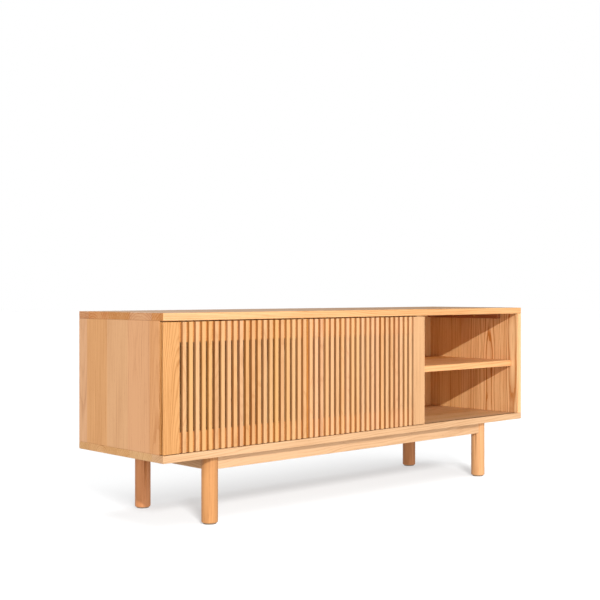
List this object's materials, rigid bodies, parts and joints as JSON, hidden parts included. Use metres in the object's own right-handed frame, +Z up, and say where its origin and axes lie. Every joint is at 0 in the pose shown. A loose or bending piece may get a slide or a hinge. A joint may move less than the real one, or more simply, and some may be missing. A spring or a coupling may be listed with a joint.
{
  "type": "media cabinet",
  "caption": "Low oak media cabinet on round legs, with slatted sliding doors on one track and an open shelved bay.",
  "frame": {"origin": "on the floor, under the middle of the cabinet's plan", "axes": "+X along the front, towards the open shelved bay; +Y from the door faces to the back; +Z up"},
  "size_m": [1.5, 0.39, 0.558],
  "materials": {
    "oak_case": "solid oak staves, clear matt oil",
    "oak_inner": "solid oak, clear matt oil",
    "oak_veneer": "oak veneered board, clear matt lacquer",
    "oak_door": "solid oak, clear matt oil",
    "oak_base": "turned and planed solid oak, clear matt oil",
    "beech_dowel": "plain beech",
    "zinc_steel": "zinc plated",
    "track_aluminium": "anodised, satin",
    "nylon": "moulded nylon",
    "felt": "pressed wool felt"
  },
  "bodies": {
    "cabinet": {"top_panel": "oak_case", "bottom_panel": "oak_case", "left_end_panel": "oak_case", "right_end_panel": "oak_case", "left_divider": "oak_inner", "right_divider": "oak_inner", "back_panel": "oak_veneer", "bay_shelf": "oak_case", "shelf_pins": "zinc_steel", "left_cleat": "oak_inner", "right_cleat": "oak_inner", "cleat_screws": "zinc_steel", "case_dowels": "beech_dowel", "back_screws": "zinc_steel", "upper_track": "track_aluminium", "lower_track": "track_aluminium", "track_stops": "nylon", "front_rail": "oak_base", "rear_rail": "oak_base", "left_end_rail": "oak_base", "right_end_rail": "oak_base", "front_left_leg": "oak_base", "front_right_leg": "oak_base", "rear_left_leg": "oak_base", "rear_right_leg": "oak_base", "rail_dowels": "beech_dowel", "leg_bolts": "zinc_steel", "base_screws": "zinc_steel", "felt_pads": "felt"},
    "left_door": {"left_door_stile": "oak_door", "left_door_top_rail": "oak_door", "left_door_bottom_rail": "oak_door", "left_door_back_stile": "oak_door", "left_door_slats": "oak_door", "left_door_guide_pins": "nylon", "left_door_glides": "nylon"},
    "right_door": {"right_door_stile": "oak_door", "right_door_top_rail": "oak_door", "right_door_bottom_rail": "oak_door", "right_door_back_stile": "oak_door", "right_door_slats": "oak_door", "right_door_guide_pins": "nylon", "right_door_glides": "nylon"}
  },
  "joints": [
    {"name": "right_door_slide", "type": "slide", "parent": "cabinet", "child": "right_door", "axis": [1, 0, 0], "range_m": [0, 0.48]},
    {"name": "left_door_slide", "type": "slide", "parent": "cabinet", "child": "left_door", "axis": [1, 0, 0], "range_m": [0, 0.48]}
  ],
  "couplings": [
    {"joint": "left_door_slide", "follows": "right_door_slide", "ratio": 1}
  ]
}
